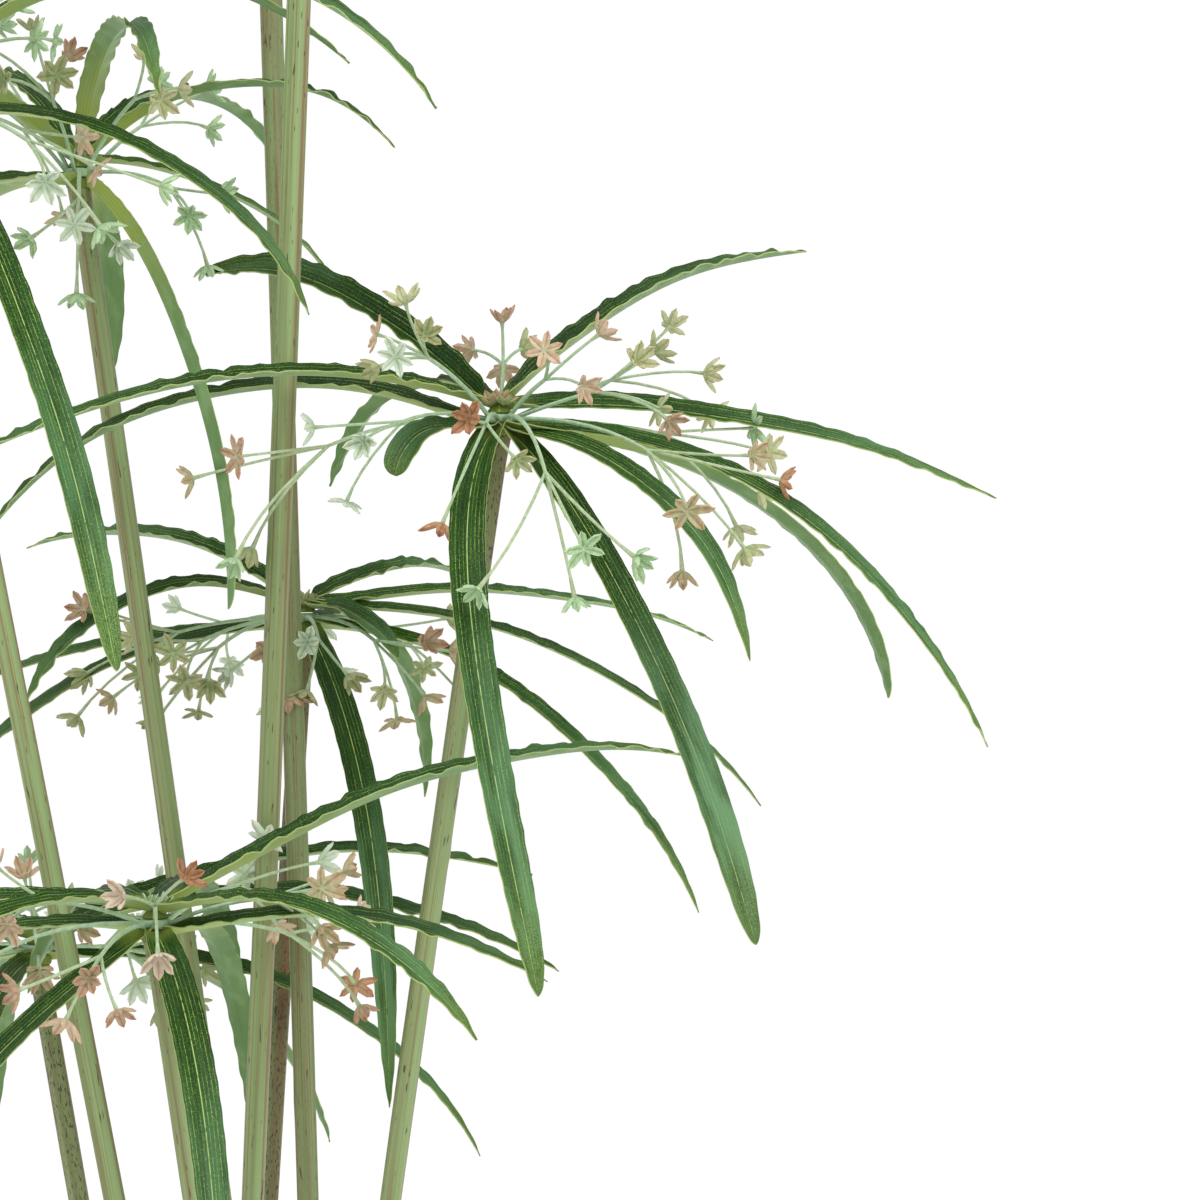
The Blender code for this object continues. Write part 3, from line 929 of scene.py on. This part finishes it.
    def build(self, seed: int) -> Object:
        """Makes the whorl and hands it over.

        Args:
            seed: picks the leaves' small differences.

        Returns:
            The finished whorl.
        """
        rng = Random(seed)
        blank = self.blank()
        leaves = []
        for blade in self.umbel.lower if self.tier is Tier.LOWER else self.umbel.upper:
            leaf = place_object("leaf", blank.data.copy())
            self.lay(leaf, blade, rng)
            leaves.append(leaf)
        bpy.data.objects.remove(blank, do_unlink=True)
        whorl = join(leaves, "whorl")
        faces = {"material_offset": 1, "material_offset_rim": 2}
        apply_modifier(whorl, "SOLIDIFY", thickness=self.thickness, offset=0.0, **faces)
        whorl = join([whorl, self.collar()], f"{self.umbel.letter}_{self.tier.value}_leaves")
        return hand_over(whorl, 50, "leaf", f"leaves_{self.umbel.letter}_{self.tier.value}")


# Flowers


@dataclass(frozen=True)
class Dye:
    """A flower's colours, from the petals' foot to their tips."""

    foot: Colour
    tip: Colour


MINT = Dye((0.34, 0.55, 0.29), (0.48, 0.67, 0.41))
FOAM = Dye((0.50, 0.66, 0.49), (0.70, 0.78, 0.66))
OLIVE = Dye((0.35, 0.46, 0.20), (0.47, 0.44, 0.24))
PEAR = Dye((0.50, 0.57, 0.30), (0.60, 0.58, 0.36))
TAN = Dye((0.45, 0.45, 0.25), (0.55, 0.36, 0.22))
BLUSH = Dye((0.62, 0.56, 0.44), (0.70, 0.55, 0.46))
PEACH = Dye((0.58, 0.50, 0.34), (0.66, 0.43, 0.31))
ROSE = Dye((0.50, 0.42, 0.27), (0.50, 0.26, 0.17))
RUST = Dye((0.48, 0.28, 0.14), (0.42, 0.16, 0.07))


@dataclass(frozen=True)
class Palette:
    """The dyes of one spray, in its rays' order, and the one at its heart."""

    dyes: tuple[Dye, ...]
    heart: Dye

    def draw(self, number: int, rng: Random) -> Dye:
        """Draws a flower's dye, which is mostly the one that its ray's number gives."""
        return self.dyes[number % len(self.dyes)] if rng.random() < 0.7 else rng.choice(self.dyes)


MIXED = Palette((FOAM, MINT, RUST, MINT, TAN, PEAR, OLIVE, ROSE, PEAR, OLIVE, PEACH), TAN)
FRESH = Palette((MINT, FOAM, MINT, OLIVE, PEAR, MINT, PEACH, FOAM, ROSE), MINT)
GREENISH = Palette((OLIVE, FOAM, FOAM, OLIVE, PEAR, OLIVE, ROSE, OLIVE, TAN), OLIVE)
WARM = Palette((FOAM, PEACH, BLUSH, TAN, RUST, FOAM, PEACH, ROSE), MINT)
PALETTES = {"d": FRESH, "e": FRESH, "f": GREENISH, "g": WARM}


@dataclass
class FlowerSpray:
    """A mint ring on the peg with forked stalks, each ending in a small flower."""

    umbel: Umbel
    hub: Vector
    finish: Material
    palette: Palette
    stalk_radius: float = 0.00095
    stalk_root: float = 0.0056
    petal_length: float = 0.0089
    petal_width: float = 0.0036
    petals: int = 6
    bracts: int = 5
    ring_radius: float = 0.0068
    stalk: Colour = (0.36, 0.55, 0.35)
    stalk_end: Colour = (0.40, 0.51, 0.30)

    def petal(self) -> Object:
        """Shapes one petal from a small grid: narrow foot, pointed tip, cupped middle.

        Returns:
            The petal, lying along +X from the origin with its inside up.
        """
        deselect_all()
        bpy.ops.mesh.primitive_grid_add(x_subdivisions=3, y_subdivisions=2, size=1)
        petal = bpy.context.object
        places = coordinates(petal.data)
        share = np.interp(places[:, 0] + 0.5, (0, 1 / 3, 2 / 3, 1), (0, 0.36, 0.76, 1))
        wide = np.interp(share, (0.0, 0.36, 0.76, 1.0), (0.38, 0.98, 0.84, 0.28)) * self.petal_width
        rounding = np.where(share > 0.9, -0.09 * np.abs(places[:, 1]) * 2, 0.0)
        x = (share + rounding) * self.petal_length
        y = places[:, 1] * wide
        z = np.abs(places[:, 1]) * wide * 0.6 - 0.13 * self.petal_length * np.sin(share * 3.0)
        place_vertices(petal.data, np.stack([x, y, z], axis=1))
        apply_modifier(petal, "SOLIDIFY", thickness=0.00045, offset=0.0)
        places = coordinates(petal.data)
        height = places[:, 0] / self.petal_length
        # rim is 0 along the petal's middle, which the flower plastic darkens as painted shade, and 1 towards
        # its edges
        rim = np.abs(places[:, 1]) * 3 / self.petal_width
        write_values(petal.data, height=np.clip(height, 0, 1), rim=np.clip(rim, 0, 1))
        return petal

    def flower(self, opening: Petals) -> Object:
        """Sets petals round a flower's axis.

        Args:
            opening: how far the petals have opened.

        Returns:
            A flower that faces +Z, with its foot at the origin and a "height" value for its colours.
        """
        petal = self.petal()
        rng = Random(opening.value)
        made = []
        for i in range(self.petals):
            turn = 2 * math.pi * i / self.petals + rng.uniform(-0.14, 0.14)
            lean = math.radians(90 - opening.value - rng.uniform(-9, 9))
            twin = place_object("petal", petal.data.copy())
            size = Matrix.Scale(rng.uniform(0.86, 1.12), 4)
            twin.data.transform(Matrix.Rotation(turn, 4, "Z") @ Matrix.Rotation(-lean, 4, "Y") @ size)
            made.append(twin)
        bpy.data.objects.remove(petal, do_unlink=True)
        return join(made, "flower_" + opening.name.lower())

    def forks(self, ray: Blade, rng: Random) -> list[np.ndarray]:
        """Where one ray's stalks run.

        Args:
            ray: the ray's line in the frame.
            rng: picks the fork and its spread.

        Returns:
            Each stalk's points from the hub's foot: first the main stalk up to the fork, then its branches.
        """
        line = ray.path(self.stalk_root, SPRAY_LOW + SPRAY_DISC / 2)
        split = rng.uniform(0.44, 0.60)
        stalks = [line.at(np.linspace(0, split, 8))[0]]
        node, along, side, normal = (rows[0] for rows in line.at(np.array([split])))
        count = rng.choice((3, 3, 4, 4, 5))
        length = ray.length * (1 - split) * 1.02
        spin = any_turn(rng)
        t = np.linspace(0, 1, 6)[:, None]
        for i in range(count):
            angle = spin + 2 * math.pi * i / count + rng.uniform(-0.3, 0.3)
            spread = math.radians(rng.uniform(22, 40))
            out = side * math.cos(angle) + normal * math.sin(angle)
            head = along * math.cos(spread) + out * math.sin(spread)
            reach = length * rng.uniform(0.62, 1.06)
            sag = np.array([0, 0, -0.10 * reach])
            stalks.append(node + along * (t * (1 - t) * reach * 0.35) + head * (t * reach) + sag * t**2)
        return stalks

    def tubes(self, runs: list[tuple[np.ndarray, float, float, float]]) -> Object:
        """Draws the stalks as round tapering rods.

        Args:
            runs: for each stalk its points, its thickness at the start and the end, and how much its last
                point adds to that.

        Returns:
            One mesh object with every stalk.
        """
        curve = bpy.data.curves.new("stalks", "CURVE")
        curve.dimensions = "3D"
        curve.bevel_depth = self.stalk_radius
        curve.bevel_resolution = 1
        curve.use_fill_caps = True
        for points, first, last, knob in runs:
            spline = curve.splines.new("POLY")
            spline.points.add(len(points) - 1)
            for k, point in enumerate(points):
                spline.points[k].co = (*(point + np.array(self.hub)), 1.0)
                spline.points[k].radius = first + (last - first) * k / (len(points) - 1)
            spline.points[-1].radius += knob
        pick(place_object("stalks", curve))
        bpy.ops.object.convert(target="MESH")
        rods = bpy.context.object
        apply_modifier(rods, "WELD", merge_threshold=0.00001)
        away = np.linalg.norm(coordinates(rods.data) - np.array(self.hub), axis=1)
        write_tint(rods.data, self.stalk, self.stalk_end, np.clip((away - 0.02) / 0.07, 0, 1))
        write_values(rods.data, rim=1.0)
        return rods

    def ring(self) -> Object:
        """Turns the mint ring that the stalks grow from."""
        deselect_all()
        bpy.ops.mesh.primitive_cylinder_add(
            vertices=20,
            radius=self.ring_radius,
            depth=SPRAY_DISC,
            location=self.hub + Vector((0, 0, SPRAY_LOW + SPRAY_DISC / 2)),
        )
        ring = bpy.context.object
        bevel_disc(ring, 0.0013)
        write_tint(ring.data, self.stalk, self.stalk, np.zeros(len(ring.data.vertices)))
        write_values(ring.data, rim=1.0)
        return ring

    def tuft(self, bud: Object, rng: Random) -> list[Object]:
        """A few small bracts that stand up at the hub's centre.

        Args:
            bud: the flower that the bracts are taken from.
            rng: picks their lean.

        Returns:
            The bracts.
        """
        bracts = []
        for _ in range(self.bracts):
            tip_x, tip_y = (Matrix.Rotation(rng.uniform(-0.5, 0.5), 4, axis) for axis in "XY")
            x, y = rng.uniform(-0.004, 0.004), rng.uniform(-0.004, 0.004)
            top = Matrix.Translation(self.hub + Vector((x, y, PEG_RISE + 0.001)))
            dye = self.palette.heart if rng.random() < 0.6 else OLIVE
            size = Matrix.Scale(rng.uniform(0.6, 0.95), 4)
            bracts.append(self.dipped(bud, dye, top @ (tip_x @ tip_y) @ size))
        return bracts

    def dipped(self, flower: Object, dye: Dye, place: Matrix) -> Object:
        """A copy of a flower, dipped in a dye and set in its place."""
        twin = place_object("bloom", flower.data.copy())
        values = np.empty(len(twin.data.vertices))
        twin.data.attributes["height"].data.foreach_get("value", values)
        write_tint(twin.data, dye.foot, dye.tip, values**1.3)
        twin.data.transform(place)
        return twin

    def build(self, seed: int) -> Object:
        """Makes the spray and hands it over.

        Args:
            seed: picks forks, flowers and colours.

        Returns:
            The finished spray.
        """
        rng = Random(seed)
        templates = [self.flower(opening) for opening in Petals]
        cup, bell, star = templates
        runs = []
        pieces = []
        for number, ray in enumerate(self.umbel.rays):
            main, *branches = self.forks(ray, rng)
            runs.append((main, 1.10, 0.90, 0.0))
            for points in branches:
                runs.append((points, 0.78, 0.66, 0.5))
                template = rng.choice((cup, cup, bell, bell, star))
                dye = self.palette.draw(number, rng)
                facing = Vector(points[-1] - points[-2]).normalized()
                aim = facing.to_track_quat("Z", "Y").to_matrix().to_4x4()
                spin = Matrix.Rotation(any_turn(rng), 4, "Z")
                size = Matrix.Scale(rng.uniform(0.98, 1.28), 4)
                foot = Matrix.Translation(Vector(points[-1]) + self.hub - facing * 0.0006)
                pieces.append(self.dipped(template, dye, foot @ aim @ spin @ size))
        pieces += self.tuft(cup, rng)
        for template in templates:
            bpy.data.objects.remove(template, do_unlink=True)
        spray = join([self.ring(), self.tubes(runs), *pieces], f"{self.umbel.letter}_flowers")
        spray.data.materials.clear()
        spray.data.materials.append(self.finish)
        return hand_over(spray, 45, "flower", f"spray_{self.umbel.letter}")


# Stems


@dataclass
class Stem:
    """One leaning stem: a faceted, grooved rod with a few small nubs."""

    letter: str
    finish: Material
    radius: float = 0.0048
    top_swell: float = 1.0
    dusk: float = 0.0
    neck_dusk: float = 0.4
    nubs: int = 7
    sides: int = 24
    rings: int = 150

    @property
    def node(self) -> str:
        """The frame's node that this stem stands for."""
        return f"stem_{self.letter}"

    def ends(self) -> tuple[Vector, Vector]:
        """The frame stem's buried foot and its shoulder under the hub.

        Returns:
            The centres of the two ends.
        """
        places = coordinates(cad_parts[self.node].data)
        low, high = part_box(self.node)
        foot = places[places[:, 2] < low[2] + 0.004].mean(axis=0)
        top = places[places[:, 2] > high[2] - 0.0005].mean(axis=0)
        return Vector(foot), Vector(top) - Vector((0, 0, PEG_RISE))

    def rod(self) -> Object:
        """Cuts an upright cylinder of unit size into rings."""
        deselect_all()
        bpy.ops.mesh.primitive_cylinder_add(vertices=self.sides, radius=1, depth=1, end_fill_type="NGON")
        rod = bpy.context.object
        bpy.ops.object.mode_set(mode="EDIT")
        bpy.ops.mesh.select_mode(type="EDGE")
        bpy.ops.mesh.select_all(action="DESELECT")
        close_edit()
        rows = coordinates(rod.data)[:, 2]
        for edge in rod.data.edges:
            edge.select = abs(rows[edge.vertices[0]] - rows[edge.vertices[1]]) > 0.5
        bpy.ops.object.mode_set(mode="EDIT")
        bpy.ops.mesh.subdivide(number_cuts=self.rings)
        close_edit()
        return rod

    def build(self, seed: int) -> Object:
        """Makes the stem and hands it over.

        Args:
            seed: picks where its grooves and nubs lie.

        Returns:
            The finished stem.
        """
        rng = Random(seed)
        stem = self.rod()
        places = coordinates(stem.data)
        turn = np.arctan2(places[:, 1], places[:, 0])
        share = places[:, 2] + 0.5
        foot, shoulder = self.ends()
        size = 1 + (self.top_swell - 1) * share
        ribs = 0.040 * np.cos(5 * turn + 0.7 * np.sin(3 * share + rng.random() * 6) + rng.random() * 6)
        grooves = 0.010 * np.cos(11 * turn + rng.random() * 6) + 0.010 * np.sin(31 * share + 2 * turn)
        nubs = np.zeros(len(turn))
        for _ in range(self.nubs):
            at, side = rng.uniform(0.25, 0.97), rng.uniform(-math.pi, math.pi)
            apart = np.angle(np.exp(1j * (turn - side)))
            nubs += 0.20 * np.exp(-(((share - at) / 0.0035) ** 2) - (apart / 0.28) ** 2)
        neck = 0.14 * np.exp(-((1 - share) / 0.010) ** 2)
        radius = self.radius * size * (0.985 + ribs + grooves + nubs + neck)
        core = np.array(foot) + share[:, None] * (np.array(shoulder) - np.array(foot))
        core[:, 0] += 0.0022 * np.sin(math.pi * share) * math.sin(any_turn(rng))
        moved = core + np.stack([radius * np.cos(turn), radius * np.sin(turn), np.zeros(len(turn))], axis=1)
        place_vertices(stem.data, moved)
        length = (shoulder - foot).length
        stretch_uv(stem.data, 2 * length)
        gloom = np.clip(self.dusk + self.neck_dusk * np.exp(-(1 - share) * length / 0.08), 0, 1)
        write_values(stem.data, tone=rng.random(), dusk=gloom)
        stem.name = stem.data.name = f"stem_{self.letter}_skin"
        stem.data.materials.append(self.finish)
        return hand_over(stem, 60, "stem", self.node)


# Pot and soil


@dataclass
class Pot:
    """The tapered pot with its rolled rim and one moulded ring."""

    finish: Material
    foot: float = 0.070
    wall: float = 0.004
    floor: float = 0.006
    rim_height: float = 0.018
    rim_overhang: float = 0.004
    sides: int = 96

    def build(self) -> Object:
        """Draws the pot's section and spins it round.

        Returns:
            The finished pot.
        """
        low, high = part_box("pot")
        height = high[2] - low[2]
        rim = (high[0] - low[0]) / 2
        top = rim - self.rim_overhang
        step = height - self.rim_height

        def outer(z: float) -> float:
            """The outside radius at a height."""
            return self.foot + (top - self.foot) / height * z

        section = [
            (0.0, self.floor),
            (outer(self.floor) - self.wall, self.floor),
            (top - self.wall, height - 0.0012),
            (top - self.wall + 0.0012, height),
            (rim - 0.0014, height),
            (rim, height - 0.0016),
            (rim, step + 0.0012),
            (rim - 0.0012, step),
            (outer(step) + 0.0006, step - 0.0008),
            (outer(step), step - 0.002),
            (outer(0.130), 0.130),
            (outer(0.129) + 0.0010, 0.1285),
            (outer(0.126) + 0.0010, 0.1260),
            (outer(0.125), 0.1245),
            (outer(0.012), 0.012),
            (outer(0.004), 0.004),
            (self.foot - 0.0030, 0.0),
            (0.0, 0.0),
        ]
        mesh = bpy.data.meshes.new("pot_section")
        mesh.from_pydata([(x, 0, z) for x, z in section], [(i, i + 1) for i in range(len(section) - 1)], [])
        pot = place_object("pot_shell", mesh)
        edit(pot, "SELECT")
        bpy.ops.mesh.spin(steps=self.sides, angle=2 * math.pi, center=(0, 0, 0), axis=(0, 0, 1))
        bpy.ops.mesh.select_all(action="SELECT")
        bpy.ops.mesh.remove_doubles(threshold=0.00005)
        bpy.ops.mesh.normals_make_consistent(inside=False)
        close_edit()
        pot.data.materials.append(self.finish)
        return hand_over(pot, 32, "pot", "pot")


@dataclass
class Soil:
    """The filled pot's rough surface, with crumbs lying on it."""

    finish: Material
    crumbs: int = 420
    rings: int = 26
    depth: float = 0.02

    def disc(self, radius: float) -> Object:
        """Draws a flat disc of rings that close in on its centre.

        Args:
            radius: the outer ring's radius.

        Returns:
            The disc, its faces the same way up.
        """
        deselect_all()
        bpy.ops.mesh.primitive_circle_add(vertices=80, radius=radius, fill_type="NOTHING")
        disc = bpy.context.object
        edit(disc, "SELECT")
        for k in range(self.rings):
            left = self.rings + 0.4 - k
            scale = (left - 1) / left
            bpy.ops.mesh.extrude_edges_move()
            bpy.ops.transform.resize(value=(scale, scale, 1), center_override=(0, 0, 0))
        bpy.ops.mesh.edge_face_add()
        bpy.ops.mesh.select_all(action="SELECT")
        bpy.ops.mesh.normals_make_consistent(inside=False)
        close_edit()
        return disc

    def build(self, seed: int) -> Object:
        """Roughens the soil plug and scatters crumbs over it.

        Args:
            seed: picks the lumps and crumbs.

        Returns:
            The finished soil.
        """
        rng = Random(seed)
        low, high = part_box("soil")
        radius = (high[0] - low[0]) / 2
        rise = high[2] - SOIL_TOP
        soil = self.disc(radius - 0.0004)
        places = coordinates(soil.data)
        away = np.hypot(places[:, 0], places[:, 1])
        lumps = sum(
            np.sin(places[:, 0] * fx + px) * np.sin(places[:, 1] * fy + py) * size
            for fx, fy, px, py, size in (
                (140, 170, 1.0, 2.0, 0.0010),
                (310, 270, 4.0, 0.5, 0.0006),
                (620, 700, 2.5, 3.0, 0.0004),
            )
        )
        crown = rise * (1 - (away / radius) ** 2)
        places[:, 2] = SOIL_TOP - 0.0005 + crown + lumps * np.clip((radius - away) / 0.006, 0, 1)
        place_vertices(soil.data, places)
        downward = -1.0 if soil.data.polygons[0].normal.z > 0 else 1.0
        apply_modifier(soil, "SOLIDIFY", thickness=self.depth, offset=downward)
        pieces = [soil]
        bpy.ops.mesh.primitive_ico_sphere_add(subdivisions=1, radius=1)
        crumb = bpy.context.object
        for _ in range(self.crumbs):
            angle, out = any_turn(rng), radius * 0.95 * math.sqrt(rng.random())
            size = Matrix.Scale(rng.uniform(0.0009, 0.0030), 4)
            height = SOIL_TOP + rise * (1 - (out / radius) ** 2)
            squat = Matrix.Diagonal((rng.uniform(0.7, 1.5), rng.uniform(0.7, 1.2), rng.uniform(0.5, 0.9), 1))
            turn = Matrix.Rotation(any_turn(rng), 4, "Z") @ Matrix.Rotation(rng.uniform(0, 1), 4, "X")
            place = Matrix.Translation((out * math.cos(angle), out * math.sin(angle), height))
            twin = place_object("crumb", crumb.data.copy())
            twin.data.transform(place @ turn @ size @ squat)
            pieces.append(twin)
        bpy.data.objects.remove(crumb, do_unlink=True)
        soil = join(pieces, "soil_surface")
        soil.data.materials.clear()
        soil.data.materials.append(self.finish)
        return hand_over(soil, 60, "soil", "soil")


# Studio


@dataclass
class Studio:
    """Camera, soft lights and the pale floor."""

    eye: Vector = Vector((0.142, -1.600, 0.758))
    aim: Vector = Vector((0, 0, 0.7))
    lens: float = 106.7
    floor_radius: float = 30.0
    sky: float = 0.65
    backdrop: float = 1.02

    def camera(self) -> None:
        """Stands the camera level in front of the plant, looking along +Y."""
        data = bpy.data.cameras.new("camera")
        data.lens = self.lens
        data.clip_end = 100
        camera = place_object("camera", data)
        camera.location = self.eye
        camera.rotation_euler = (math.radians(90), 0, 0)
        bpy.context.scene.camera = camera

    def area(self, name: str, place: tuple, power: float, size: float) -> None:
        """Hangs a square soft light that faces the plant's middle."""
        data = bpy.data.lights.new(name, "AREA")
        data.energy = power
        data.size = size
        light = place_object(name, data)
        light.location = place
        light.rotation_euler = (self.aim - Vector(place)).to_track_quat("-Z", "Y").to_euler()

    def world(self) -> None:
        """Lights everything evenly from a white sky, which the camera sees a little brighter."""
        world = bpy.data.worlds.new("studio")
        world.use_nodes = True
        nodes, links = world.node_tree.nodes, world.node_tree.links
        background = nodes["Background"]
        background.inputs["Color"].default_value = (1, 1, 1, 1)
        seen = nodes.new("ShaderNodeLightPath")
        level = nodes.new("ShaderNodeMapRange")
        level.inputs["To Min"].default_value = self.sky
        level.inputs["To Max"].default_value = self.backdrop
        links.new(seen.outputs["Is Camera Ray"], level.inputs["Value"])
        links.new(level.outputs[0], background.inputs["Strength"])
        bpy.context.scene.world = world

    def build(self) -> None:
        """Sets the studio up."""
        self.world()
        sun = bpy.data.lights.new("overhead", "SUN")
        sun.energy = 1.5
        sun.angle = math.radians(50)
        place_object("overhead", sun).rotation_euler = (math.radians(22), math.radians(-18), 0)
        self.area("key", (1.9, -1.9, 2.4), 34, 1.2)
        self.area("fill", (-2.2, -1.9, 1.4), 10, 1.8)
        deselect_all()
        bpy.ops.mesh.primitive_circle_add(vertices=96, radius=self.floor_radius, fill_type="NGON")
        floor = bpy.context.object
        floor.name = "floor"
        floor.data.transform(Matrix.Translation((0, 0, -0.0002)))
        floor.data.materials.append(FloorFinish().make())
        bpy.context.scene.view_settings.view_transform = "Standard"
        self.camera()


def main() -> None:
    """Builds the plant's looks in order and reports each piece."""
    logging.basicConfig(level=logging.INFO, format="%(name)s %(message)s")
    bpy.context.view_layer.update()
    Studio().build()
    leaf = LeafFinish()
    leaf_faces = (leaf.above(), leaf.below(), leaf.edge())
    stem_skin = StemFinish().make()
    flower_plastic = FlowerFinish().make()
    Pot(PotFinish().make()).build()
    Soil(SoilFinish().make()).build(seed=5)
    stem_looks = {
        "a": {"top_swell": 1.12},
        "b": {"top_swell": 1.12, "dusk": 0.30},
        "c": {"dusk": 0.08, "neck_dusk": 0.85},
        "d": {"dusk": 0.06},
        "e": {"dusk": 0.02},
        "f": {"dusk": 0.75},
        "h": {"dusk": 0.35},
    }
    spray_seed = {"c": 719, "f": 497}
    for number, umbel in enumerate(UMBELS):
        stem = Stem(umbel.letter, stem_skin, **stem_looks.get(umbel.letter, {}))
        stem.build(seed=100 + number)
        _, hub = stem.ends()
        for tier in Tier:
            LeafWhorl(umbel, tier, hub, leaf_faces).build(seed=200 + 10 * number + len(tier.value))
        spray = FlowerSpray(umbel, hub, flower_plastic, PALETTES.get(umbel.letter, MIXED))
        spray.build(seed=spray_seed.get(umbel.letter, 300 + number))
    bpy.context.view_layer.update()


if __name__ == "__main__":
    main()
